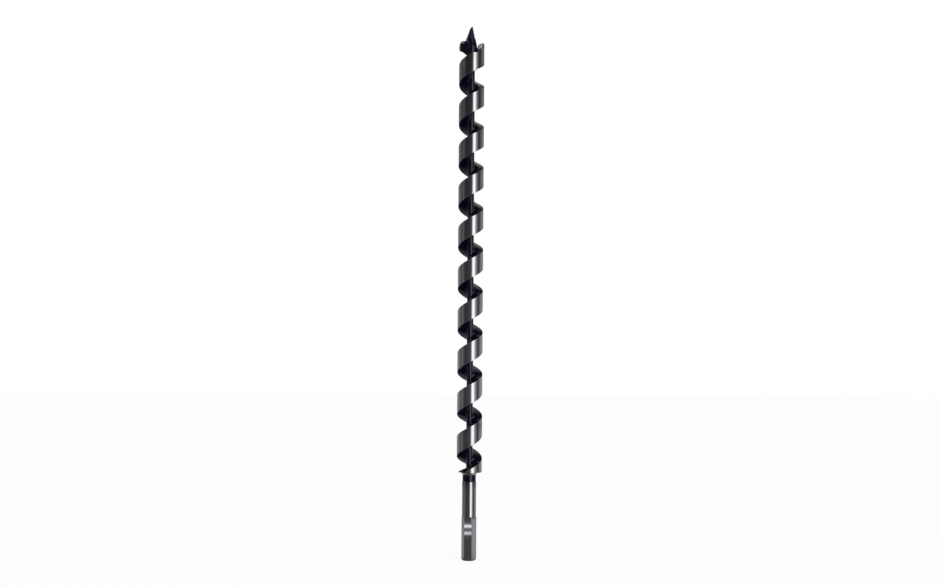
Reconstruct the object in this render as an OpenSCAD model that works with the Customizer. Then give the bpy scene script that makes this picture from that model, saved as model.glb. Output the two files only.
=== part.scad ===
// Ship auger bit: hexagon-ended shank, black neck, one open right-hand spiral round a core,
// and a head with one cutting lip, one spur and a conical feed screw.
// The axis is +Z with the tip up, and the origin is the centre of the shank's end face.
// Angles are about +Z from +X, so the front of the bit, at -Y, is at -90 degrees.

/* [Overall] */
// Length from the end of the shank to the tip of the feed screw
overall_length = 460; // [380:1:600]
// Diameter of the hole that the head cuts
bit_d = 22; // [19:0.5:27]
// How much thinner the spiral is at its shank end than at its head
back_taper = 0.6; // [0:0.1:1.2]

/* [Shank] */
// Length of the bright shank, hexagon included
shank_length = 66; // [52:1:90]
// Diameter of the shank's round part
shank_d = 12; // [10:0.1:15]
// Width of the hexagon across its flats
hex_af = 11.1; // [9.5:0.1:14]
// Length of the hexagon from the end of the shank
hex_length = 36.3; // [20:0.1:45]
// Turn of one flat away from the front, towards -X
hex_turn = 9; // [0:1:60]
// Height of the chamfer round the end of the shank
end_chamfer = 1; // [0.5:0.1:4]
// How far the hexagon's corners still stand out where they meet the round part
corner_step = 0.12; // [0:0.01:0.3]

/* [Neck] */
// Diameter of the neck
neck_d = 11.3; // [9.6:0.1:15]
// Height from the bright shank to the flat end of the spiral
neck_length = 8; // [6:0.5:20]
// Radius of the fillet under the collar
collar_fillet = 3; // [1:0.1:4]
// Width of the flat rim outside that fillet
collar_rim = 0.75; // [0.3:0.05:1.5]
// Thickness of the collar at its edge
collar_edge = 0.3; // [0.2:0.1:1]
// Slope of the collar's top, where the flute runs out
runout_angle = 25; // [10:1:35]

/* [Spiral] */
// Axial distance from one turn to the next
pitch = 35.7; // [29:0.1:45]
// Axial height of the land, the blade's outer face
land_height = 16.8; // [13:0.1:20]
// Distance of the first land's upper edge below the tip, at the front
land_drop = 26; // [24:0.1:28]
// Diameter of the core
core_d = 5.5; // [4.8:0.1:7]
// Radius of the fillet between the core and the blade
root_fillet = 2.5; // [1:0.1:4]
// Thickness of the blade where it feathers out
feather = 0.3; // [0.2:0.1:1]

/* [Head] */
// Diameter of the hub at its widest
hub_d = 9; // [8:0.1:11]
// Diameter of the hub's top, under the feed screw
hub_top_d = 8.8; // [7:0.1:9.2]
// Distance of the hub's foot below the tip
hub_foot_drop = 30; // [28:0.5:36]
// Distance of the gullet's floor below the tip
gullet_drop = 24; // [22:0.1:25]
// Distance of the lip's heel, where the hub is widest, below the tip
heel_drop = 18; // [16:0.1:20]
// Distance of the lip's upper edge below the tip
lip_drop = 12.6; // [12:0.1:15]
// Thickness of the lip at its cutting edge
lip_edge = 1.5; // [0.8:0.1:3]
// Radius of the lip's rounded outer corner
lip_corner = 2.4; // [1:0.1:3]
// Distance of the spur's top below the tip
spur_drop = 12.8; // [12:0.1:16]
// Distance of the raised rim that the spur climbs out of below the tip
spur_rim_drop = 20.7; // [19:0.1:22]
// Height that the spur's rounded nose loses at its end
spur_nose_drop = 2.3; // [1:0.1:3]
// Thickness of the spur at its foot
spur_wall = 2.4; // [1:0.1:3]
// Thickness of the spur at its top
spur_edge = 0.5; // [0.3:0.1:1]

/* [Feed screw] */
// Length of the threaded cone
screw_length = 11; // [9:0.5:12]
// Diameter over the thread at the root of the screw
screw_d = 8; // [6:0.1:8.4]
// Diameter of the screw's blunt tip
tip_d = 1.2; // [0.4:0.1:1.5]
// Axial distance from one thread to the next
screw_pitch = 1.75; // [1.2:0.05:2.5]
// Depth of the thread at the root of the screw
thread_depth = 0.5; // [0.2:0.05:0.8]
// How far the screw's root lies off the axis, towards the lip
screw_lean = 0.4; // [0:0.05:0.6]

/* [Fits] */
// Gap all round a spigot in its socket
spigot_gap = 0.05; // [0.02:0.01:0.15]
// Gap between the blade and what it is seated on
seat_gap = 0.06; // [0.05:0.01:0.2]
// Gap under the spur, where the blade's rim rises
spur_seat = 0.16; // [0.1:0.01:0.3]
// Room left below the end of a spigot
socket_room = 0.5; // [0.2:0.1:1]
// Diameter of the neck's spigot in the shank
neck_spigot_d = 7; // [5:0.1:8]
// Length of the neck's spigot
neck_spigot_length = 14; // [8:1:20]
// Depth of the core's foot below the spiral's end
core_foot = 10; // [6:0.5:14]
// Diameter of the core's spigot in the hub
core_spigot_d = 3.2; // [2.4:0.1:3.6]
// Length of the core's spigot
core_spigot_length = 7.5; // [4:0.5:8]
// Diameter of the screw's tang in the hub
tang_d = 3; // [2:0.1:4]
// Length of the screw's tang
tang_length = 5; // [3:0.5:6]

/* [Hidden] */
$fn = 96;

// Angles of the head, about +Z
front = -90;
gullet_start = -70;
gullet_end = -35;
spur_start = -50;
spur_level = -30;
spur_rise = -28;
spur_crest = 30;
spur_nose = 48;
spur_end = 60;
heel = 60;
lip_angle = 220;

// Steps of the swept shapes
turn_steps = 24;
lip_step = 8;
spur_step = 5;
thread_steps = 24;
thread_levels = 6;

// Heights of the main seats, from the end of the shank
tail_z = shank_length + neck_length;
hub_foot_z = overall_length - hub_foot_drop;
gullet_z = overall_length - gullet_drop;
heel_z = overall_length - heel_drop;
lip_z = overall_length - lip_drop;
spur_z = overall_length - spur_drop;
spur_rim_z = overall_length - spur_rim_drop;
screw_z = overall_length - screw_length;

// Radii that more than one piece shares
shank_r = shank_d / 2;
neck_r = neck_d / 2;
collar_r = neck_r + collar_fillet + collar_rim;
core_r = core_d / 2;
hub_r = hub_d / 2;
hub_top_r = hub_top_d / 2;

// Share of a fillet's radius between its middle and its corner
fillet_mid = 1 - cos(45);

function clamp(value, low, high) = min(max(value, low), high);

// Radius of the spiral's outer face at a height, with the back taper
function rim_r(z) =
    bit_d / 2 - back_taper / 2 * clamp((lip_z - z) / (lip_z - tail_z), 0, 1);

// Height of the collar's conical top at a radius
function collar_top(r) =
    tail_z + collar_edge + max(0, collar_r - r) * tan(runout_angle);

// Lowest height at which the blade is clear of the collar
function floor_z(r) = r < collar_r + seat_gap ? collar_top(r) + seat_gap : tail_z;

// Radius of the hub, or of the core below it, at a height
function stem_r(z) =
    z < hub_foot_z ? core_r
    : z < heel_z ? core_r + (hub_r - core_r) * (z - hub_foot_z) / (heel_z - hub_foot_z)
    : hub_r + (hub_top_r - hub_r) * (z - heel_z) / (screw_z - heel_z);

// Heights of the land's two edges: one pitch higher for each turn of a right-hand helix
function land_top(t) = overall_length - land_drop + pitch * (t - front) / 360;
function land_bottom(t) = land_top(t) - land_height;

// Height to which the head's cut takes the blade down
function head_cut(t) =
    t < gullet_start ? overall_length
    : t < gullet_end ? gullet_z
    : t < heel ? gullet_z + (heel_z - gullet_z) * (t - gullet_end) / (heel - gullet_end)
    : heel_z + (lip_z - heel_z) * (t - heel) / (lip_angle - heel);

// Section points as points of the ring at one angle
function ring(t, section) = [for (p = section) [p[0] * cos(t), p[0] * sin(t), p[1]]];

// Angles from one to another in equal steps of at most the given size
function angles(from, to, step) =
    let (count = ceil((to - from) / step))
    [for (i = [0:count]) from + (to - from) * i / count];

// One solid through rings of equally many points, closed by the first and the last ring
module swept(rings) {
    sides = len(rings[0]);
    last = len(rings) - 1;
    start_cap = [for (j = [sides - 1:-1:0]) j];
    end_cap = [for (j = [0:sides - 1]) last * sides + j];
    walls = [
        for (i = [0:last - 1], j = [0:sides - 1])
            let (a = i * sides + j, b = i * sides + (j + 1) % sides)
            each [[a, b, b + sides], [a, b + sides, a + sides]]
    ];
    polyhedron(
        points = [for (r = rings) each r],
        faces = concat([start_cap, end_cap], walls),
        convexity = 12
    );
}

// Radius of the blade's inner edge, which follows the core and the hub
function root_r(z) = stem_r(z) + seat_gap;

// Height of the extra point on an inner edge: at the stem's corner, or halfway where that lies outside
function inner_edge_point(corner, low, high) =
    corner > low && corner < high
    ? clamp(corner, low + feather / 3, high - feather / 3)
    : (low + high) / 2;

// Section of the blade at one angle, anticlockwise from its inner lower corner
function blade_section(t, bottom, top) =
    let (
        foot = bottom - root_fillet,
        crest = min(top + root_fillet, head_cut(t)),
        r_mid = core_r + seat_gap + root_fillet * fillet_mid,
        r_flank = core_r + seat_gap + root_fillet,
        r_low = max(r_mid, root_r(bottom) + feather),
        r_high = max(r_mid, root_r(min(top, head_cut(t))) + feather),
        low = [
            [root_r(foot), max(foot, floor_z(core_r))],
            [r_low, max(bottom - root_fillet * fillet_mid, floor_z(r_low))],
            [max(r_flank, r_low + feather), max(bottom, floor_z(r_flank))],
            [rim_r(bottom), max(bottom, tail_z)]
        ],
        high = [
            [rim_r(top), min(top, head_cut(t))],
            [max(r_flank, r_high + feather), min(top, head_cut(t))],
            [r_high, min(top + root_fillet * fillet_mid, head_cut(t))],
            [root_r(crest), crest]
        ],
        raised = [for (i = [0:3]) [high[i][0], max(high[i][1], low[3 - i][1] + feather)]],
        inner_low = low[0][1],
        inner_high = raised[3][1],
        waist = inner_edge_point(hub_foot_z, inner_low, inner_high)
    )
    concat(low, raised, [[root_r(waist), waist]]);

// Turned bar with six milled flats at its end and a socket for the neck
module shank() {
    socket_depth = neck_spigot_length + socket_room;
    hex_corner_r = hex_af / sqrt(3);
    flat_r = hex_af / 2;
    color("silver")
    difference() {
        rotate_extrude()
        polygon([
            [0, 0],
            [hex_corner_r - end_chamfer, 0],
            [hex_corner_r, end_chamfer],
            [shank_r + corner_step, hex_length],
            [shank_r, hex_length],
            [shank_r, shank_length],
            [0, shank_length]
        ]);
        for (side = [0:5])
            rotate([0, 0, front - hex_turn + 60 * side])
            translate([flat_r, -shank_d, -1])
            cube([shank_d, 2 * shank_d, hex_length + 1]);
        translate([0, 0, shank_length - socket_depth])
        cylinder(d = neck_spigot_d + 2 * spigot_gap, h = socket_depth + 1);
    }
}

// Turned neck with the collar under the spiral, a spigot below and a socket for the core above
module neck() {
    core_bore_r = core_r + spigot_gap;
    fillet_z = tail_z - collar_fillet;
    fillet_steps = 12;
    fillet = [
        for (i = [0:fillet_steps])
            let (a = 180 - 90 * i / fillet_steps)
            [neck_r + collar_fillet + collar_fillet * cos(a), fillet_z + collar_fillet * sin(a)]
    ];
    color("dimgray")
    difference() {
        rotate_extrude()
        polygon(concat(
            [
                [0, shank_length - neck_spigot_length],
                [neck_spigot_d / 2, shank_length - neck_spigot_length],
                [neck_spigot_d / 2, shank_length],
                [neck_r, shank_length]
            ],
            fillet,
            [
                [collar_r, tail_z],
                [collar_r, collar_top(collar_r)],
                [core_bore_r, collar_top(core_bore_r)],
                [0, collar_top(core_bore_r)]
            ]
        ));
        translate([0, 0, tail_z - core_foot - socket_room])
        cylinder(r = core_bore_r, h = core_foot + collar_top(0));
    }
}

// Rod in the middle of the spiral, seated in the neck, with a spigot for the hub
module core() {
    color("dimgray") {
        translate([0, 0, tail_z - core_foot])
        cylinder(r = core_r, h = hub_foot_z - tail_z + core_foot);
        translate([0, 0, hub_foot_z])
        cylinder(d = core_spigot_d, h = core_spigot_length);
    }
}

// Helical blade, from its feathered end on the collar to the heel of the lip
module flight() {
    tail_angle = front + 360 * (tail_z + feather - land_top(front)) / pitch;
    color("lightgray")
    swept([
        for (t = angles(tail_angle, heel, 360 / turn_steps))
            ring(t, blade_section(t, land_bottom(t), land_top(t)))
    ]);
}

// Boss at the end of the core, with a socket below for the core and one above for the screw
module head_hub() {
    core_socket_r = core_spigot_d / 2 + spigot_gap;
    core_socket_z = hub_foot_z + core_spigot_length + socket_room;
    tang_socket_r = tang_d / 2 + spigot_gap;
    tang_socket_z = screw_z - tang_length - socket_room;
    color("dimgray")
    rotate_extrude()
    polygon([
        [core_socket_r, hub_foot_z],
        [core_r, hub_foot_z],
        [hub_r, heel_z],
        [hub_top_r, screw_z],
        [tang_socket_r, screw_z],
        [tang_socket_r, tang_socket_z],
        [0, tang_socket_z],
        [0, core_socket_z],
        [core_socket_r, core_socket_z]
    ]);
}

// Wing from the heel to the cutting edge, thinned towards the edge and relieved on top
module cutting_lip() {
    function lip_bottom(t) = min(land_bottom(t), head_cut(t) - lip_edge);
    function lip_section(t) =
        let (
            bottom = lip_bottom(t),
            top = head_cut(t),
            corner = min(lip_corner, (top - bottom) / 2),
            foot = max(bottom - root_fillet, land_bottom(heel) - root_fillet),
            r_fillet = root_r(bottom) + root_fillet,
            belly = inner_edge_point(heel_z, foot, top)
        )
        [
            [root_r(foot), foot],
            [r_fillet, bottom],
            [rim_r(bottom), bottom],
            [rim_r(top), top - corner],
            [rim_r(top) - corner * fillet_mid, top - corner * fillet_mid],
            [rim_r(top) - corner, top],
            [root_r(top), top],
            [root_r(belly) + seat_gap, belly]
        ];
    color("dimgray")
    swept([for (t = angles(heel, lip_angle, lip_step)) ring(t, lip_section(t))]);
}

// Curved scorer on the blade's rim: it climbs out of the raised rim to a thin top with a rounded nose.
// Its foot is level up to the facet of the blade that bridges the gullet's end.
module spur() {
    function climb(t) =
        let (share = clamp((t - spur_rise) / (spur_crest - spur_rise), 0, 1))
        share * share * (3 - 2 * share);
    function past_nose(t) = max(0, t - spur_nose) / (spur_end - spur_nose);
    function crown(t) =
        spur_rim_z + (spur_z - spur_rim_z) * climb(t) - spur_nose_drop * (1 - sqrt(1 - pow(past_nose(t), 2)));
    function spur_section(t) =
        let (outer = rim_r(spur_z), base = head_cut(max(t, spur_level)) + spur_seat)
        [[outer - spur_wall, base], [outer, base], [outer, crown(t)], [outer - spur_edge, crown(t)]];
    color("gray")
    swept([for (t = angles(spur_start, spur_end, spur_step)) ring(t, spur_section(t))]);
}

// Threaded cone with a tang in the hub
module feed_screw() {
    step = screw_pitch / thread_levels;
    levels = ceil(screw_length / step);
    function share(z) = (z - screw_z) / screw_length;
    function crest_r(z) = screw_d / 2 + (tip_d - screw_d) / 2 * share(z);
    function wave(t, z) =
        let (phase = (z - screw_z) / screw_pitch - t / 360)
        abs(1 - 2 * (phase - floor(phase)));
    function thread_r(t, z) = crest_r(z) - thread_depth * (1 - share(z)) * (1 - wave(t, z));
    function level_ring(z) = [
        for (i = [0:thread_steps - 1])
            let (t = -360 * i / thread_steps, lean = screw_lean * (1 - share(z)))
            [thread_r(t, z) * cos(t) - lean, thread_r(t, z) * sin(t), z]
    ];
    color("dimgray") {
        swept([for (i = [0:levels]) level_ring(min(screw_z + i * step, overall_length))]);
        translate([0, 0, screw_z - tang_length])
        cylinder(d = tang_d, h = tang_length);
    }
}

shank();
neck();
core();
flight();
head_hub();
cutting_lip();
spur();
feed_screw();
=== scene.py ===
import math

import bpy
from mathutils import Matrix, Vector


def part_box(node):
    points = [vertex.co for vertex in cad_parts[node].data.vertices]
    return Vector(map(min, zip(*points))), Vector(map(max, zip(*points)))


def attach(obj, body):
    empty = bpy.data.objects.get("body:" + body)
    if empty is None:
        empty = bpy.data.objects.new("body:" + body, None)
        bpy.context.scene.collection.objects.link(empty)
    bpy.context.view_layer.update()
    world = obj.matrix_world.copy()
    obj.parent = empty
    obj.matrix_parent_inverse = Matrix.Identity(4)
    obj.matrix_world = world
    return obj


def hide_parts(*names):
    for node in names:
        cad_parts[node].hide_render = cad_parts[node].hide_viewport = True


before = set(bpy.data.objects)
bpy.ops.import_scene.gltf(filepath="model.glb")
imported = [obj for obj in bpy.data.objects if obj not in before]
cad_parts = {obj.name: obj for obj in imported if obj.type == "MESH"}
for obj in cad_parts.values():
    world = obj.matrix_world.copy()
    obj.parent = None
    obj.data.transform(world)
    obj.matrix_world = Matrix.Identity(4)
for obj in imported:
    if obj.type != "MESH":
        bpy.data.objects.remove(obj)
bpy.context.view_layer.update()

# Shank
# The bar that the drill's chuck grips: drawn tool steel, turned round, ground bright, and milled to
# six flats over its lower half so that the jaws can't slip. The neck is welded to its top.
MM = 0.001
weld_distance = 0.001 * MM
shank_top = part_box("shank")[1].z
shank_radius = 6 * MM
flat_count = 6
flat_distance = 5.55 * MM
hexagon_length = 36.3 * MM
hexagon_turn = -99
hexagon_corner_radius = 6.36 * MM
end_chamfer = 1 * MM
edge_break = 0.2 * MM
turning_steps = 144


def draw_outline(name, points):
    """Draws an outline of (radius, height) points in the XZ plane by extruding one point to the next."""
    bpy.ops.object.select_all(action="DESELECT")
    bpy.ops.mesh.primitive_plane_add(size=MM)
    piece = bpy.context.object
    piece.name = piece.data.name = name
    bpy.ops.object.mode_set(mode="EDIT")
    bpy.ops.mesh.merge(type="CENTER")
    bpy.ops.transform.translate(value=(points[0][0], 0, points[0][1]))
    for (radius, height), (next_radius, next_height) in zip(points, points[1:]):
        step = (next_radius - radius, 0, next_height - height)
        bpy.ops.mesh.extrude_region_move(TRANSFORM_OT_translate={"value": step})
    bpy.ops.mesh.select_all(action="SELECT")
    bpy.ops.mesh.remove_doubles(threshold=weld_distance)
    bpy.ops.object.mode_set(mode="OBJECT")
    return piece


def pick(piece):
    """Leaves one piece selected and active."""
    bpy.ops.object.select_all(action="DESELECT")
    piece.select_set(True)
    bpy.context.view_layer.objects.active = piece


def apply(piece, modifier):
    """Applies one modifier to a piece."""
    pick(piece)
    bpy.ops.object.modifier_apply(modifier=modifier.name)


def close_skin(piece):
    """Merges doubles, fills the open ends and turns every face outwards."""
    pick(piece)
    bpy.ops.object.mode_set(mode="EDIT")
    bpy.ops.mesh.select_all(action="SELECT")
    bpy.ops.mesh.remove_doubles(threshold=weld_distance)
    bpy.ops.mesh.fill_holes(sides=0)
    bpy.ops.mesh.select_all(action="SELECT")
    bpy.ops.mesh.normals_make_consistent(inside=False)
    bpy.ops.object.mode_set(mode="OBJECT")


def sweep(piece, degrees, steps, rise=0.0):
    """Sweeps an outline round the axis, rising evenly, into a closed skin."""
    screw = piece.modifiers.new("sweep", "SCREW")
    screw.angle = math.radians(degrees)
    screw.screw_offset = rise
    screw.steps = screw.render_steps = steps
    apply(piece, screw)
    close_skin(piece)


def cut_away(piece, cutter):
    """Cuts one solid out of a piece and removes the cutter."""
    boolean = piece.modifiers.new("cut", "BOOLEAN")
    boolean.operation = "DIFFERENCE"
    boolean.solver = "EXACT"
    boolean.object = cutter
    apply(piece, boolean)
    bpy.data.objects.remove(cutter)


def smooth(piece, crease):
    """Smooths a piece's faces, leaving edges sharper than the crease angle as they are."""
    pick(piece)
    bpy.ops.object.shade_smooth_by_angle(angle=math.radians(crease))


shank_piece = draw_outline("ground_shank", [
    (0, 0),
    (hexagon_corner_radius - end_chamfer, 0),
    (hexagon_corner_radius, end_chamfer),
    (hexagon_corner_radius, hexagon_length),
    (shank_radius, hexagon_length + edge_break),
    (shank_radius, shank_top - edge_break),
    (shank_radius - edge_break, shank_top),
    (0, shank_top),
])
sweep(shank_piece, 360, turning_steps)
for flat in range(flat_count):
    bpy.ops.object.select_all(action="DESELECT")
    bpy.ops.mesh.primitive_cube_add(size=1)
    milling_cut = bpy.context.object
    milling_cut.scale = (2 * shank_radius, 4 * shank_radius, 2 * hexagon_length)
    milling_cut.location.x = flat_distance + shank_radius
    bpy.ops.object.transform_apply()
    milling_cut.rotation_euler.z = math.radians(hexagon_turn + 360 / flat_count * flat)
    bpy.ops.object.transform_apply()
    cut_away(shank_piece, milling_cut)
close_skin(shank_piece)
smooth(shank_piece, crease=15)


def linear_colour(text):
    """Turns an sRGB hex colour into linear light."""
    parts = [int(text[i:i + 2], 16) / 255 for i in (1, 3, 5)]
    return [p / 12.92 if p <= 0.04045 else ((p + 0.055) / 1.055) ** 2.4 for p in parts] + [1]


def add(tree, kind, inputs, tones=(), **settings):
    """Adds a node with its settings and a ramp's grey tones, and gives each input its value or link."""
    node = tree.nodes.new(kind)
    for name, value in settings.items():
        setattr(node, name, value)
    for place, tone in tones[2:]:
        node.color_ramp.elements.new(place)
    for index, (place, tone) in enumerate(tones):
        node.color_ramp.elements[index].position = place
        node.color_ramp.elements[index].color = (tone, tone, tone, 1)
    for socket, value in inputs.items():
        if isinstance(value, bpy.types.NodeSocket):
            tree.links.new(value, node.inputs[socket])
        else:
            node.inputs[socket].default_value = value
    return node


def between(start, end, tones):
    """Turns the place of each tone, from one end to the other, into a share from 0 to 1."""
    return [((place - start) / (end - start), tone) for place, tone in tones]


def new_material(name):
    """Makes an empty node material and returns it with its node tree and output."""
    material = bpy.data.materials.new(name)
    material.use_nodes = True
    tree = material.node_tree
    tree.nodes.clear()
    return material, tree, tree.nodes.new("ShaderNodeOutputMaterial")


# Ground tool steel: fine rings from the grinding wheel, which blur a reflection up and down and leave
# it sharp from side to side, with faint smears of oil. A straw tint from welding lies by the neck. The
# rings are drawn coarser than a wheel's grit, which is too fine to show.
ground_steel, tree, output = new_material("ground_tool_steel")
place = add(tree, "ShaderNodeTexCoord", {}).outputs["Object"]
ring_spacing = 0.5 * MM
ring_length = 16.7 * MM
smear_size = 7 * MM
rings = add(tree, "ShaderNodeMapping", {
    "Vector": place,
    "Scale": (1 / ring_length, 1 / ring_length, 1 / ring_spacing),
}).outputs[0]
ring_noise = add(tree, "ShaderNodeTexNoise", {"Vector": rings, "Scale": 1, "Detail": 2}).outputs[0]
smears = add(tree, "ShaderNodeTexNoise", {
    "Vector": place,
    "Scale": 1 / smear_size,
    "Detail": 4,
}).outputs[0]
smeared = add(tree, "ShaderNodeMapRange", {
    "Value": smears,
    "From Min": 0.5,
    "From Max": 0.7,
    "To Max": 0.04,
}).outputs[0]
gloss = add(tree, "ShaderNodeMapRange", {"Value": ring_noise, "To Min": 0.05, "To Max": 0.09}).outputs[0]
gloss = add(tree, "ShaderNodeMath", {0: gloss, 1: smeared}).outputs[0]
bump = add(tree, "ShaderNodeBump", {"Height": ring_noise, "Strength": 0.04, "Distance": 0.02 * MM})
bare_tone = add(tree, "ShaderNodeMix", {
    "Factor": ring_noise,
    "A": linear_colour("#a3a3a8"),
    "B": linear_colour("#ababb0"),
}, data_type="RGBA")
# The straw tint: height in metres, and strength
tint_top = 0.1
tint_stops = ((0.067, 0), (0.071, 0.22), (0.08, 0.22), (0.096, 0))
height = add(tree, "ShaderNodeSeparateXYZ", {"Vector": place}).outputs["Z"]
height_share = add(tree, "ShaderNodeMapRange", {"Value": height, "From Max": tint_top}).outputs[0]
tint = add(tree, "ShaderNodeValToRGB", {"Fac": height_share}, tones=between(0, tint_top, tint_stops))
tone = add(tree, "ShaderNodeMix", {
    "Factor": tint.outputs["Color"],
    "A": bare_tone.outputs["Result"],
    "B": linear_colour("#aba183"),
}, data_type="RGBA")
shader = add(tree, "ShaderNodeBsdfPrincipled", {
    "Base Color": tone.outputs["Result"],
    "Metallic": 1,
    "Roughness": gloss,
    "Normal": bump.outputs[0],
})
tree.links.new(shader.outputs[0], output.inputs["Surface"])


def finish_piece(piece, node, materials):
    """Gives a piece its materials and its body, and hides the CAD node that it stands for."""
    for material in materials:
        piece.data.materials.append(material)
    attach(piece, "root")
    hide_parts(node)


finish_piece(shank_piece, "shank", [ground_steel])

# Neck
# The turned steel piece between shank and spiral, blacked with the spiral. A fillet flares it out to
# the collar, whose rim is ground with the lands and where the flute runs out on a shallow cone.
tail_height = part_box("flight")[0].z
collar_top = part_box("neck")[1].z
neck_radius = 5.65 * MM
fillet_radius = 3 * MM
fillet_centre = (neck_radius + fillet_radius, tail_height - fillet_radius)
fillet_steps = 12
collar_radius = 9.4 * MM
collar_edge = 0.3 * MM
bare_height = 2.2 * MM
core_radius = 2.75 * MM
weld_sink = 0.5 * MM


def arc(centre, radius, start, end, steps):
    """Points of an arc about a centre, from one angle in degrees to another."""
    angles = [math.radians(start + (end - start) * i / steps) for i in range(steps + 1)]
    return [(centre[0] + radius * math.cos(a), centre[1] + radius * math.sin(a)) for a in angles]


neck_piece = draw_outline("black_neck", [
    (0, shank_top - weld_sink),
    (neck_radius, shank_top - weld_sink),
    *arc(fillet_centre, fillet_radius, 180, 90, fillet_steps),
    (collar_radius, tail_height),
    (collar_radius, tail_height + collar_edge),
    (core_radius, collar_top),
    (0, collar_top),
])
sweep(neck_piece, 360, turning_steps)
smooth(neck_piece, crease=25)

# Black oxide on tool steel: blued and oiled, near black with a violet cast and a soft sheen, cloudy and
# slightly grained, and rubbed through to grey along the blade's rim.
black_oxide, tree, output = new_material("black_oxide_steel")
place = add(tree, "ShaderNodeTexCoord", {}).outputs["Object"]
bit_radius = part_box("flight")[1].x
cloud_size = 4 * MM
grain_size = 0.5 * MM
rub_width = 0.6 * MM
clouds = add(tree, "ShaderNodeTexNoise", {
    "Vector": place,
    "Scale": 1 / cloud_size,
    "Detail": 3,
}).outputs[0]
grain = add(tree, "ShaderNodeTexNoise", {
    "Vector": place,
    "Scale": 1 / grain_size,
    "Detail": 2,
}).outputs[0]
level = add(tree, "ShaderNodeVectorMath", {0: place, 1: (1, 1, 0)}, operation="MULTIPLY").outputs[0]
radius = add(tree, "ShaderNodeVectorMath", {0: level}, operation="LENGTH").outputs["Value"]
rim = add(tree, "ShaderNodeMapRange", {
    "Value": radius,
    "From Min": bit_radius - rub_width,
    "From Max": bit_radius,
}).outputs[0]
rubbed = add(tree, "ShaderNodeMath", {0: rim, 1: grain}, operation="MULTIPLY").outputs[0]
oxide_tone = add(tree, "ShaderNodeMix", {
    "Factor": clouds,
    "A": linear_colour("#050412"),
    "B": linear_colour("#080618"),
}, data_type="RGBA")
tone = add(tree, "ShaderNodeMix", {
    "Factor": rubbed,
    "A": oxide_tone.outputs["Result"],
    "B": linear_colour("#8c8c92"),
}, data_type="RGBA")
gloss = add(tree, "ShaderNodeMapRange", {"Value": clouds, "To Min": 0.15, "To Max": 0.21})
bump = add(tree, "ShaderNodeBump", {"Height": grain, "Strength": 0.06, "Distance": 0.02 * MM})
shader = add(tree, "ShaderNodeBsdfPrincipled", {
    "Base Color": tone.outputs["Result"],
    "Metallic": rubbed,
    "Roughness": gloss.outputs[0],
    "Specular IOR Level": 0.55,
    "Specular Tint": linear_colour("#ebe5ff"),
    "Normal": bump.outputs[0],
})
tree.links.new(shader.outputs[0], output.inputs["Surface"])
finish_piece(neck_piece, "neck", [black_oxide, ground_steel])
for face in neck_piece.data.polygons:
    if tail_height - bare_height < face.center.z < tail_height + collar_edge:
        face.material_index = 1

# Core
# The rod that is left in the middle of the bar when the flute is milled round it, black like the flute.
# It runs from the collar up to the hub.
hub_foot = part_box("head_hub")[0].z
core_steps = 64
core_piece = draw_outline("spiral_core", [
    (0, tail_height),
    (core_radius, tail_height),
    (core_radius, hub_foot),
    (0, hub_foot),
])
sweep(core_piece, 360, core_steps)
smooth(core_piece, crease=30)
finish_piece(core_piece, "core", [black_oxide])

# Flight
# The helical blade, milled from the bar in one open right-hand spiral: black flanks filleted into the
# core, and a land on its rim that is ground bright to the bit's diameter, a little thinner to the tail.
tip_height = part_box("feed_screw")[1].z
pitch = 35.7 * MM
land_width = 16.8 * MM
land_drop = 26 * MM
upper_fillet = 3.5 * MM
lower_fillet = 1.5 * MM
land_edge = 0.15 * MM
back_taper = 0.3 * MM
core_sink = 0.03 * MM
turn_steps = 96
lip_height = tip_height - 12.6 * MM
# Angles round the axis in degrees, from 0 on the right of the picture, rising with the spiral
front = -90
heel = 60
lip_angle = 220
tail_start = -3960
# Where the head is cut down behind the gullet: angle, and drop below the tip in millimetres
head_stations = (
    (-88, 25.7), (-70, 25.5), (-54, 24.8), (-50, 21.3),
    (-33, 20.4), (-12, 19.3), (60, 17.8), (220, 12.6),
)


def land_top(degrees):
    """Height of the land's upper edge at an angle."""
    return tip_height - land_drop + pitch * (degrees - front) / 360


def head_cut(degrees):
    """Height to which the head is cut down at an angle, from the gullet to the lip."""
    for (start, start_drop), (end, end_drop) in zip(head_stations, head_stations[1:]):
        if degrees <= end:
            drop = start_drop + (end_drop - start_drop) * (degrees - start) / (end - start)
            return tip_height - drop * MM


def saw_off(piece, point, normal):
    """Cuts a piece at a plane, keeps the side that the normal points to and closes the cut."""
    pick(piece)
    bpy.ops.object.mode_set(mode="EDIT")
    bpy.ops.mesh.select_all(action="SELECT")
    bpy.ops.mesh.bisect(
        plane_co=point,
        plane_no=normal,
        use_fill=True,
        clear_inner=True,
        threshold=weld_distance,
    )
    bpy.ops.object.mode_set(mode="OBJECT")


upper = land_top(tail_start)
lower = upper - land_width
inner = core_radius - core_sink
flight_piece = draw_outline("helical_flight", [
    *arc((core_radius + lower_fillet, lower - lower_fillet), lower_fillet, 180, 90, fillet_steps),
    (bit_radius - land_edge, lower),
    (bit_radius, lower + land_edge),
    (bit_radius, upper - land_edge),
    (bit_radius - land_edge, upper),
    *arc((core_radius + upper_fillet, upper + upper_fillet), upper_fillet, 270, 180, fillet_steps),
    (inner, upper + upper_fillet),
    (inner, lower - lower_fillet),
    (core_radius, lower - lower_fillet),
])
flight_turn = heel - tail_start
sweep(flight_piece, flight_turn, round(turn_steps * flight_turn / 360), pitch * flight_turn / 360)
for vertex in flight_piece.data.vertices:
    share = (lip_height - vertex.co.z) / (lip_height - tail_height)
    vertex.co.xy *= 1 - back_taper / bit_radius * min(max(share, 0), 1)
saw_off(flight_piece, (0, 0, tail_height), (0, 0, 1))


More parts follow.
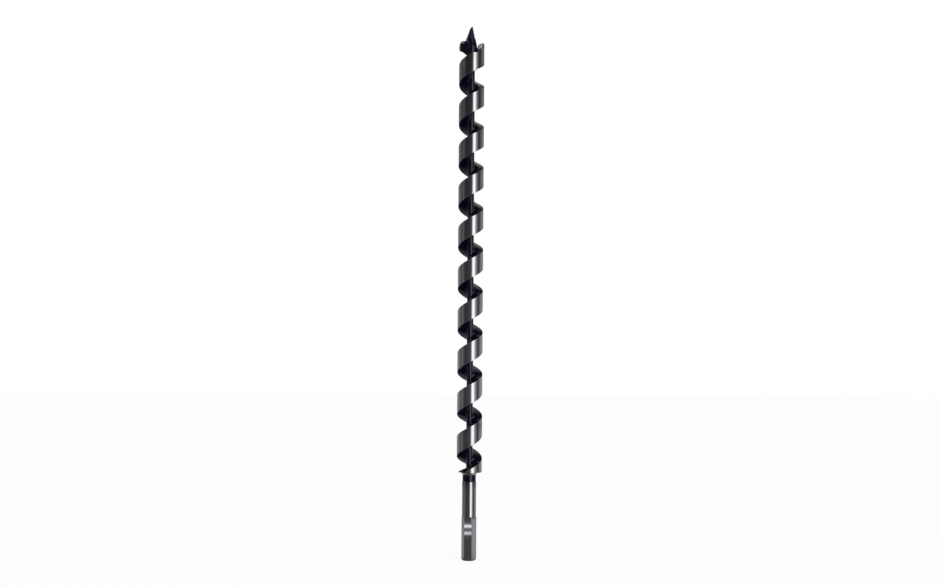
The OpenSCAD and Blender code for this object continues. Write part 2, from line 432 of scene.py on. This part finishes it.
def loft(name, sections):
    """Draws each section of (radius, height) points at its angle and bridges them into a closed skin."""
    rings = []
    for degrees, points in sections:
        ring = draw_outline(name, points + points[:1])
        ring.rotation_euler.z = math.radians(degrees)
        bpy.ops.object.transform_apply()
        rings.append(ring)
    for ring in rings:
        ring.select_set(True)
    bpy.ops.object.join()
    piece = bpy.context.object
    piece.name = piece.data.name = name
    bpy.ops.object.mode_set(mode="EDIT")
    bpy.ops.mesh.select_all(action="SELECT")
    bpy.ops.mesh.bridge_edge_loops()
    bpy.ops.object.mode_set(mode="OBJECT")
    close_skin(piece)
    return piece


def clear_midpoints(piece, passes):
    """Dissolves the corners that a cut leaves in the middle of an edge, between only two edges."""
    pick(piece)
    for attempt in range(passes):
        edge_count = [0] * len(piece.data.vertices)
        for edge in piece.data.edges:
            for corner in edge.vertices:
                edge_count[corner] += 1
        bpy.ops.object.mode_set(mode="EDIT")
        bpy.ops.mesh.select_all(action="DESELECT")
        bpy.ops.object.mode_set(mode="OBJECT")
        for vertex in piece.data.vertices:
            vertex.select = edge_count[vertex.index] == 2
        bpy.ops.object.mode_set(mode="EDIT")
        bpy.ops.mesh.dissolve_verts()
        bpy.ops.object.mode_set(mode="OBJECT")


cutter_height = 40 * MM
cutter_inside = 1 * MM
cutter_outside = 2 * bit_radius
cutter_overrun = 5
cutter_sections = []
for degrees in range(head_stations[0][0], heel + cutter_overrun):
    low = head_cut(degrees)
    cutter_sections.append((degrees, [
        (cutter_inside, low),
        (cutter_outside, low),
        (cutter_outside, low + cutter_height),
        (cutter_inside, low + cutter_height),
    ]))
cut_away(flight_piece, loft("head_cutter", cutter_sections))
close_skin(flight_piece)
clear_midpoints(flight_piece, passes=4)
smooth(flight_piece, crease=25)
finish_piece(flight_piece, "flight", [black_oxide, ground_steel])

# The land is bright and shades as the true cylinder that it is ground to.
land_depth = 0.5 * MM
land_tilt = 0.3
flight_data = flight_piece.data
corner_normals = [(0, 0, 0)] * len(flight_data.loops)
for face in flight_data.polygons:
    if face.center.xy.length > bit_radius - land_depth and abs(face.normal.z) < land_tilt:
        face.material_index = 1
        for corner in face.loop_indices:
            vertex = flight_data.vertices[flight_data.loops[corner].vertex_index]
            corner_normals[corner] = (*vertex.co.xy.normalized(), 0)
flight_data.normals_split_custom_set(corner_normals)

# Hub
# The boss that the core swells into under the feed screw, forged with the head and left black. It leans
# a little towards the lip.
screw_foot = tip_height - 11 * MM
screw_root_radius = 4.1 * MM
screw_lean = 0.95 * MM
hub_radius = 4.7 * MM
heel_height = tip_height - 18 * MM
taper_overrun = 3 * MM
hub_steps = 24


def ease(value, start, end):
    """Rises smoothly from 0 to 1 between two values."""
    share = min(max((value - start) / (end - start), 0), 1)
    return share * share * (3 - 2 * share)


hub_outline = [(0, hub_foot)]
for step in range(hub_steps + 1):
    height = hub_foot + (screw_foot - hub_foot) * step / hub_steps
    swell = (hub_radius - core_radius) * ease(height, hub_foot, heel_height)
    taper = (hub_radius - screw_root_radius) * ease(height, heel_height, screw_foot + taper_overrun)
    hub_outline.append((core_radius + swell - taper, height))
hub_piece = draw_outline("head_boss", hub_outline + [(0, screw_foot)])
sweep(hub_piece, 360, turn_steps)
for vertex in hub_piece.data.vertices:
    vertex.co.x -= screw_lean * max(0, (vertex.co.z - heel_height) / (screw_foot - heel_height))
smooth(hub_piece, crease=40)
finish_piece(hub_piece, "head_hub", [black_oxide])

# Cutting lip
# The wing that planes the hole's floor: the last part of the blade, cut off by a flat rake face that
# runs from the rim past the front of the hub, its outer corner rounded off, dressed with a stone and
# painted pale as a highlight.
rake_depth = 4.65 * MM
rake_angle = 180 + math.degrees(math.asin(rake_depth / bit_radius))
rake_end = 254
blend_end = 262
shoulder_start = 226
shoulder_drop = 6 * MM
rim_start = 150
rim_level = 135
rim_drop = 1.7 * MM
gusset_start = 176
gusset_drop = 4 * MM
root_start = 240
root_rise = 2 * MM
corner_end = 130
corner_radius = 3.2 * MM
corner_share = 0.6
corner_steps = 8
lip_slope = 0.45 * MM
section_step = 2
root = core_radius + lower_fillet
lip_sections = []
for degrees in range(heel, rake_end + 1, section_step):
    outer = rake_depth / max(-math.sin(math.radians(degrees)), rake_depth / bit_radius)
    top = head_cut(min(degrees, lip_angle)) - shoulder_drop * ease(degrees, shoulder_start, blend_end)
    rim_bottom = land_top(min(degrees, rim_level)) - land_width
    rim_bottom -= rim_drop * ease(degrees, rim_start, rake_angle)
    root_bottom = rim_bottom - gusset_drop * ease(degrees, gusset_start, rake_angle)
    root_bottom += root_rise * ease(degrees, root_start, blend_end)
    outer_bottom = root_bottom + (rim_bottom - root_bottom) * (outer - root) / (bit_radius - root)
    rounding = ease(degrees, heel, corner_end)
    corner = min(land_edge + corner_radius * rounding, corner_share * (outer - core_radius))
    slope = lip_slope * rounding
    lip_sections.append((degrees, [
        *arc((root, root_bottom - lower_fillet), lower_fillet, 180, 90, fillet_steps),
        (outer - land_edge, outer_bottom),
        (outer, outer_bottom + land_edge),
        *arc((outer - corner, top - slope - corner), corner, 0, 90, corner_steps),
        (core_radius, top + slope),
    ]))
lip_piece = loft("cutting_wing", lip_sections)
smooth(lip_piece, crease=30)

# Stone-dressed steel: the lip's corner and the spur's hollow are touched up with a slip stone, which
# leaves fine scratches and a duller gloss. Their pale, half-matt tone is a painted highlight, the lip a
# little brighter, set by a metallic share that changes from side to side. The scratches are drawn
# coarser than the stone's grit, which is too fine to show.
dressed_steel_highlight, tree, output = new_material("stone_dressed_steel_painted_highlight")
place = add(tree, "ShaderNodeTexCoord", {}).outputs["Object"]
scratch_spacing = 0.25 * MM
scratch_length = 5 * MM
strokes = add(tree, "ShaderNodeMapping", {
    "Vector": place,
    "Scale": (1 / scratch_spacing, 1 / scratch_spacing, 1 / scratch_length),
}).outputs[0]
scratches = add(tree, "ShaderNodeTexNoise", {"Vector": strokes, "Scale": 1, "Detail": 2}).outputs[0]
tone = add(tree, "ShaderNodeMix", {
    "Factor": scratches,
    "A": linear_colour("#b2b2b4"),
    "B": linear_colour("#cacacc"),
}, data_type="RGBA")
gloss = add(tree, "ShaderNodeMapRange", {"Value": scratches, "To Min": 0.28, "To Max": 0.45})
bump = add(tree, "ShaderNodeBump", {"Height": scratches, "Strength": 0.1, "Distance": 0.02 * MM})
side = add(tree, "ShaderNodeSeparateXYZ", {"Vector": place}).outputs["X"]
highlight_metallic_by_side = add(tree, "ShaderNodeMapRange", {
    "Value": side,
    "From Min": -core_radius,
    "From Max": core_radius,
    "To Min": 0.95,
    "To Max": 0.6,
})
shader = add(tree, "ShaderNodeBsdfPrincipled", {
    "Base Color": tone.outputs["Result"],
    "Metallic": highlight_metallic_by_side.outputs[0],
    "Roughness": gloss.outputs[0],
    "Normal": bump.outputs[0],
})
tree.links.new(shader.outputs[0], output.inputs["Surface"])
finish_piece(lip_piece, "cutting_lip", [black_oxide, ground_steel, dressed_steel_highlight])
# Between these bearings the lip's corner takes the dressed steel, whose pale tone is a painted highlight
# there.
dressed_highlight_start = 120
dressed_highlight_end = 216
rim_facing = 0.2
corner_low = 0.1
corner_high = 0.95
for face in lip_piece.data.polygons:
    bearing = math.degrees(math.atan2(face.center.y, face.center.x)) % 360
    distance = face.center.xy.length
    outwards = face.normal.xy.dot(face.center.xy.normalized())
    on_rim = outwards > rim_facing and distance > bit_radius - corner_radius and bearing < rake_angle
    on_corner = corner_low < face.normal.z < corner_high and distance > root
    if on_corner and dressed_highlight_start < bearing < dressed_highlight_end:
        face.material_index = 2
    elif on_rim:
        face.material_index = 1

# Spur
# The curved scorer on the blade's rim, half a turn from the lip, which cuts the hole's edge ahead of
# it. It climbs out of the land to a rounded nose, ground outside with the land and hollowed inside, where
# the hollow is painted pale as a highlight.
spur_start = -28
spur_crest = 30
spur_nose = 48
spur_end = 60
spur_wall = 2.4 * MM
spur_lip = 0.5 * MM
spur_rim = 0.85 * MM
spur_rim_share = (spur_rim - spur_lip) / (spur_wall - spur_lip)
spur_top = tip_height - 12.8 * MM
spur_base = head_cut(spur_start)
spur_sink = 0.4 * MM
bevel_height = spur_lip / 2
bevel_width = spur_lip / 3
nose_radius = bit_radius * math.radians(spur_end - spur_nose)
spur_sections = []
for degrees in range(spur_start, spur_end + 1, section_step):
    crown = spur_base + (spur_top - spur_base) * ease(degrees, spur_start, spur_crest)
    past_nose = max(0, degrees - spur_nose) / (spur_end - spur_nose)
    crown -= nose_radius * (1 - math.sqrt(1 - past_nose ** 2))
    crown = max(crown, head_cut(degrees))
    foot = head_cut(degrees) - spur_sink
    spur_sections.append((degrees, [
        (bit_radius - spur_wall, foot),
        (bit_radius, foot),
        (bit_radius, crown - bevel_height),
        (bit_radius - bevel_width, crown),
        (bit_radius - spur_lip, crown),
        (bit_radius - spur_rim, crown - spur_rim_share * (crown - foot)),
    ]))
spur_piece = loft("scoring_spur", spur_sections)
smooth(spur_piece, crease=30)
finish_piece(spur_piece, "spur", [ground_steel, dressed_steel_highlight, black_oxide])
# The spur's hollow takes the dressed steel, whose pale tone is a painted highlight there.
hollow_start = 18
hollow_end = 50
side_facing = 0.5
for face in spur_piece.data.polygons:
    bearing = math.degrees(math.atan2(face.center.y, face.center.x))
    outwards = face.normal.xy.dot(face.center.xy.normalized())
    in_hollow = outwards < -side_facing and face.center.xy.length < bit_radius - spur_rim
    if in_hollow and hollow_start < bearing < hollow_end:
        face.material_index = 1
    elif outwards < side_facing:
        face.material_index = 2

# Feed screw
# The tapered wood-screw point that pulls the bit in: a thread cut on the forged cone, with a gimlet
# tip that is cut across at a slant.
thread_pitch = 1.75 * MM
thread_depth = 0.4 * MM
flank_share = 0.3
thread_turns = 8
thread_steps = 48
thread_sink = 0.5 * MM
thread_foot = screw_foot - thread_pitch
groove_radius = screw_root_radius - thread_depth
cone_tip_radius = 0.95 * MM
tip_lean = 0.2 * MM
slant_point = (0.3 * MM, 0, tip_height)
slant_normal = (1.7, 0, -1.9)
screw_piece = draw_outline("threaded_lead", [
    (screw_root_radius, thread_foot),
    (groove_radius, thread_foot + flank_share * thread_pitch),
    (groove_radius, thread_foot + (1 - flank_share) * thread_pitch),
    (screw_root_radius, thread_foot + thread_pitch),
])
sweep(screw_piece, 360 * thread_turns, thread_steps * thread_turns, thread_pitch * thread_turns)
saw_off(screw_piece, (0, 0, screw_foot - thread_sink), (0, 0, 1))
saw_off(screw_piece, (0, 0, tip_height), (0, 0, -1))
for vertex in screw_piece.data.vertices:
    share = (vertex.co.z - screw_foot) / (tip_height - screw_foot)
    vertex.co.xy *= 1 + (cone_tip_radius / screw_root_radius - 1) * share
    vertex.co.x -= screw_lean + (tip_lean - screw_lean) * share
saw_off(screw_piece, slant_point, slant_normal)
close_skin(screw_piece)
smooth(screw_piece, crease=30)
finish_piece(screw_piece, "feed_screw", [black_oxide])

# Studio
# A white paper floor that the bit stands on, and white all round it. Toned cloths hang round the bit
# and lie about its foot, where only the steel sees them, and a tall softbox in front lights it from the
# right. Distances and heights are in metres, and bearings run from -180 to 180 with 0 at the front.
floor_size = 8
sheet_white = 1
whiteness = 0.9
bpy.ops.object.select_all(action="DESELECT")
bpy.ops.mesh.primitive_plane_add(size=floor_size)
floor = bpy.context.object
floor.name = "paper_floor"


def seen_share(tree):
    """Returns 1 for rays that see a thing, straight, in a reflection or through glass, and 0 for others."""
    rays = add(tree, "ShaderNodeLightPath", {})
    seen = add(tree, "ShaderNodeMath", {0: rays.outputs["Is Camera Ray"], 1: rays.outputs["Is Glossy Ray"]})
    return add(tree, "ShaderNodeMath", {
        0: seen.outputs[0],
        1: rays.outputs["Is Transmission Ray"],
    }, use_clamp=True).outputs[0]


# White paper: matt, with the bit's soft shadow on it, and nearly as white as the sheet behind.
white_paper, tree, output = new_material("white_paper")
paper = add(tree, "ShaderNodeBsdfDiffuse", {"Color": linear_colour("#f9f9f9")})
white = add(tree, "ShaderNodeEmission", {"Strength": sheet_white})
share = add(tree, "ShaderNodeMath", {0: seen_share(tree), 1: whiteness}, operation="MULTIPLY")
mix = add(tree, "ShaderNodeMixShader", {0: share.outputs[0], 1: paper.outputs[0], 2: white.outputs[0]})
tree.links.new(mix.outputs[0], output.inputs["Surface"])
floor.data.materials.append(white_paper)

world = bpy.data.worlds.new("white_studio")
bpy.context.scene.world = world
world.use_nodes = True
tree = world.node_tree
tree.nodes.clear()
fill_light = 0.85
strength = add(tree, "ShaderNodeMapRange", {
    "Value": seen_share(tree),
    "To Min": fill_light,
    "To Max": sheet_white,
})
surface = add(tree, "ShaderNodeBackground", {
    "Color": linear_colour("#ffffff"),
    "Strength": strength.outputs[0],
})
add(tree, "ShaderNodeOutputWorld", {"Surface": surface.outputs[0]})

cloth_steps = 180
cloth_radius = 0.9
cloth_height = 6
dark_height = 2.4
all_round = (-180, 180)


def bearing_on(tree):
    """Reads Object coordinates and returns the bearing, 0.5 at the front, and the place."""
    place = add(tree, "ShaderNodeTexCoord", {}).outputs["Object"]
    turned = add(tree, "ShaderNodeMapping", {"Vector": place, "Rotation": (0, 0, math.radians(90))})
    gradient = add(tree, "ShaderNodeTexGradient", {"Vector": turned.outputs[0]}, gradient_type="RADIAL")
    return gradient.outputs["Fac"], place


# Hung cloth: grey tones by bearing, one set for the spiral and one above it for the head, dimmer
# towards the top. The softbox's glow and a smaller one for the spur show through it.
hung_tones, tree, output = new_material("hung_cloth")
bearing, place = bearing_on(tree)
height = add(tree, "ShaderNodeSeparateXYZ", {"Vector": place}).outputs["Z"]
height_share = add(tree, "ShaderNodeMapRange", {"Value": height, "From Max": dark_height}).outputs[0]
low_end = 0.68
high_start = 0.85
cloth_strength = 1.2
dimming = add(tree, "ShaderNodeValToRGB", {"Fac": height_share}, tones=between(0, dark_height, (
    (0.05, 0.85), (0.055, 0.4), (0.062, 0.4), (0.066, 0.85), (0.085, 0.85), (0.1, 0.95),
    (low_end, 0.43), (high_start, 0.7), (1.9, 0.7), (2.3, 0.05),
)))
low_tones = add(tree, "ShaderNodeValToRGB", {"Fac": bearing}, tones=between(*all_round, (
    (-178, 0.02), (-172, 0.02), (-164, 0.45), (-148, 0.45), (-130, 0.42), (-114, 0.33), (-99, 0.24),
    (-86, 0.14), (-78, 0.28), (-70, 0.28), (-64, 0.17), (-53, 0.1), (-43, 0.08), (-30, 0.08), (-20, 0.1),
    (-5, 0.12), (5, 0.16), (62, 0.3), (72, 0.13), (84, 0.12), (98, 0.32), (113, 0.52), (132, 0.52),
    (150, 0.5), (166, 0.48), (172, 0.02),
)))
high_tones = add(tree, "ShaderNodeValToRGB", {"Fac": bearing}, tones=between(*all_round, (
    (-178, 0.5), (-166, 0.1), (-156, 0.04), (-148, 0.7), (-98, 0.7), (-90, 0.04), (90, 0.04),
    (130, 0.35), (160, 1), (172, 1), (179, 0.5),
)))
raised = add(tree, "ShaderNodeMapRange", {"Value": height, "From Min": low_end, "From Max": high_start})
tones = add(tree, "ShaderNodeMix", {
    "Factor": raised.outputs[0],
    "A": low_tones.outputs["Color"],
    "B": high_tones.outputs["Color"],
}, data_type="RGBA")
strength = add(tree, "ShaderNodeMath", {
    0: dimming.outputs["Color"],
    1: cloth_strength,
}, operation="MULTIPLY")
cloth = add(tree, "ShaderNodeEmission", {
    "Color": tones.outputs["Result"],
    "Strength": strength.outputs[0],
})
glow_strength = 3.6
glow_tones = add(tree, "ShaderNodeValToRGB", {"Fac": bearing}, tones=between(*all_round, (
    (7, 0), (12, 0.12), (16, 0.5), (20, 0.85), (25, 1), (34, 1), (39, 0.75), (43, 0.36), (50, 0.15),
    (66, 0),
)))
glow_heights = add(tree, "ShaderNodeValToRGB", {"Fac": height_share}, tones=between(0, dark_height, (
    (0.005, 0.25), (0.015, 0.64), (0.7, 0.64), (0.725, 0.06), (0.99, 0.06), (1.04, 1), (1.4, 1),
    (1.5, 0.05), (2.3, 0.03),
)))
strength = add(tree, "ShaderNodeMath", {
    0: glow_heights.outputs["Color"],
    1: glow_strength,
}, operation="MULTIPLY")
glow = add(tree, "ShaderNodeEmission", {
    "Color": glow_tones.outputs["Color"],
    "Strength": strength.outputs[0],
})
spur_light = 3
spur_tones = add(tree, "ShaderNodeValToRGB", {"Fac": bearing}, tones=between(*all_round, (
    (-104, 0), (-98, 1), (-74, 1), (-66, 0),
)))
spur_heights = add(tree, "ShaderNodeValToRGB", {"Fac": height_share}, tones=between(0, dark_height, (
    (0.71, 0), (0.735, 1), (0.85, 1), (0.95, 0),
)))
strength = add(tree, "ShaderNodeMath", {
    0: spur_heights.outputs["Color"],
    1: spur_light,
}, operation="MULTIPLY")
spur_glow = add(tree, "ShaderNodeEmission", {
    "Color": spur_tones.outputs["Color"],
    "Strength": strength.outputs[0],
})
both = add(tree, "ShaderNodeAddShader", {0: cloth.outputs[0], 1: glow.outputs[0]})
lit = add(tree, "ShaderNodeAddShader", {0: both.outputs[0], 1: spur_glow.outputs[0]})
tree.links.new(lit.outputs[0], output.inputs["Surface"])

bpy.ops.object.select_all(action="DESELECT")
bpy.ops.mesh.primitive_cylinder_add(
    vertices=cloth_steps,
    radius=cloth_radius,
    depth=cloth_height,
    end_fill_type="NOTHING",
)
hung_cloth = bpy.context.object
hung_cloth.name = "hung_cloth"
bpy.ops.object.mode_set(mode="EDIT")
bpy.ops.transform.translate(value=(0, 0, cloth_height / 2))
bpy.ops.object.mode_set(mode="OBJECT")
hung_cloth.data.materials.append(hung_tones)

# Laid cloth: pale to both sides of the foot, with two slits that light the hexagon's front flat.
laid_tones, tree, output = new_material("laid_cloth")
bearing, place = bearing_on(tree)
hexagon_view = 0.02
slit_strength = 2.8
tones = add(tree, "ShaderNodeValToRGB", {"Fac": bearing}, tones=between(*all_round, (
    (-178, 0.03), (-152, 0.03), (-145, 0.42), (-125, 0.4), (-100, 0.2), (-60, 0.1), (-18, 0.12),
    (20, 0.15), (60, 0.3), (85, 0.5), (102, 0.62), (130, 0.5), (145, 0.4), (152, 0.03),
)))
cloth = add(tree, "ShaderNodeEmission", {"Color": tones.outputs["Color"]})
height = add(tree, "ShaderNodeSeparateXYZ", {"Vector": place}).outputs["Z"]
height_share = add(tree, "ShaderNodeMapRange", {"Value": height, "From Max": hexagon_view}).outputs[0]
slits = add(tree, "ShaderNodeValToRGB", {"Fac": height_share}, tones=between(0, hexagon_view, (
    (0.0064, 0), (0.007, 0.8), (0.0083, 0.8), (0.0088, 0),
    (0.0128, 0), (0.0133, 1), (0.0147, 1), (0.0153, 0),
)))
slit_ends = add(tree, "ShaderNodeValToRGB", {"Fac": bearing}, tones=between(*all_round, (
    (-50, 0), (-40, 1), (0, 1), (8, 0),
)))
strength = add(tree, "ShaderNodeMath", {
    0: slit_ends.outputs["Color"],
    1: slit_strength,
}, operation="MULTIPLY")
slit_light = add(tree, "ShaderNodeEmission", {
    "Color": slits.outputs["Color"],
    "Strength": strength.outputs[0],
})
both = add(tree, "ShaderNodeAddShader", {0: cloth.outputs[0], 1: slit_light.outputs[0]})
tree.links.new(both.outputs[0], output.inputs["Surface"])

# Dark cloth: laid over the rest of the floor, with paler stretches that band the lands seen from above.
dark_cloth, tree, output = new_material("dark_cloth")
bearing = bearing_on(tree)[0]
tones = add(tree, "ShaderNodeValToRGB", {"Fac": bearing}, tones=between(*all_round, (
    (-178, 0.08), (-168, 0.28), (-150, 0.34), (-115, 0.34), (-95, 0.1), (-84, 0.26), (-72, 0.26),
    (-60, 0.09), (5, 0.12), (25, 0.32), (42, 0.32), (50, 0.12), (85, 0.12), (100, 0.36), (115, 0.36),
    (135, 0.02), (170, 0.02),
)))
cloth = add(tree, "ShaderNodeEmission", {"Color": tones.outputs["Color"]})
tree.links.new(cloth.outputs[0], output.inputs["Surface"])

# The floor's cloths are one sheet in rings: the laid cloth at the foot, then the dark cloth, then the
# hung cloth's foot, with a wedge of dark cloth at the back.
foot_radius = 0.03
ring_radius = 0.1
far_radius = 0.4
sheet_lift = 0.1 * MM
back_wedge = 35
far_wedge = 45
bpy.ops.object.select_all(action="DESELECT")
bpy.ops.mesh.primitive_circle_add(vertices=cloth_steps, radius=foot_radius, fill_type="NGON")
laid_cloth = bpy.context.object
laid_cloth.name = "laid_cloth"
bpy.ops.object.mode_set(mode="EDIT")
bpy.ops.transform.translate(value=(0, 0, sheet_lift))
ring_edges = (foot_radius, ring_radius, far_radius, cloth_radius)
for inner_edge, outer_edge in zip(ring_edges, ring_edges[1:]):
    bpy.ops.mesh.select_all(action="DESELECT")
    bpy.ops.mesh.select_non_manifold()
    bpy.ops.mesh.extrude_edges_move()
    bpy.ops.transform.resize(value=[outer_edge / inner_edge] * 2 + [1], center_override=(0, 0, 0))
bpy.ops.object.mode_set(mode="OBJECT")
for material in (laid_tones, dark_cloth, hung_tones):
    laid_cloth.data.materials.append(material)
for face in laid_cloth.data.polygons:
    from_back = abs(math.degrees(math.atan2(face.center.x, face.center.y)))
    distance = face.center.xy.length
    if distance > far_radius and from_back > far_wedge:
        face.material_index = 2
    elif distance > ring_radius or from_back < back_wedge:
        face.material_index = 1

# A low ring of cloth round the foot: its lower band shows in the hexagon, its upper band in the round.
ring_height = 0.085
bpy.ops.object.select_all(action="DESELECT")
bpy.ops.mesh.primitive_circle_add(vertices=cloth_steps, radius=ring_radius)
low_ring = bpy.context.object
low_ring.name = "low_ring"
bpy.ops.object.mode_set(mode="EDIT")
for rise in (hexagon_view, ring_height - hexagon_view):
    bpy.ops.mesh.extrude_edges_move(TRANSFORM_OT_translate={"value": (0, 0, rise)})
bpy.ops.object.mode_set(mode="OBJECT")
for material in (hung_tones, laid_tones):
    low_ring.data.materials.append(material)
for face in low_ring.data.polygons:
    if face.center.z < hexagon_view:
        face.material_index = 1
for piece in (hung_cloth, laid_cloth, low_ring):
    piece.visible_camera = piece.visible_diffuse = piece.visible_shadow = False

softbox_bearing = 30
softbox_distance = 0.47
softbox_width = 0.2
softbox_height = 0.98
softbox_lift = 0.02
softbox_radiance = 1.2
softbox_data = bpy.data.lights.new("tall_softbox", "AREA")
softbox_data.shape = "RECTANGLE"
softbox_data.size = softbox_width
softbox_data.size_y = softbox_height
softbox_data.energy = math.pi * softbox_width * softbox_height * softbox_radiance
softbox = bpy.data.objects.new("tall_softbox", softbox_data)
bpy.context.collection.objects.link(softbox)
aside = math.radians(softbox_bearing)
softbox.location = (
    softbox_distance * math.sin(aside),
    -softbox_distance * math.cos(aside),
    softbox_height / 2 + softbox_lift,
)
softbox.rotation_euler = (math.radians(90), 0, aside)
softbox.visible_glossy = False

# The camera stands level with the lower spiral and looks up a little.
camera_place = (0.00006, -0.8953, 0.1707)
camera_tilt = 3.554
camera_roll = -0.359
lens_pixels = 1041.6
image_width = 940
camera_data = bpy.data.cameras.new("camera")
camera_data.sensor_width = 36
camera_data.lens = lens_pixels * camera_data.sensor_width / image_width
camera = bpy.data.objects.new("camera", camera_data)
bpy.context.collection.objects.link(camera)
camera.location = camera_place
camera.rotation_euler = (math.radians(90 + camera_tilt), math.radians(camera_roll), 0)
bpy.context.scene.camera = camera
bpy.context.scene.view_settings.view_transform = "Standard"
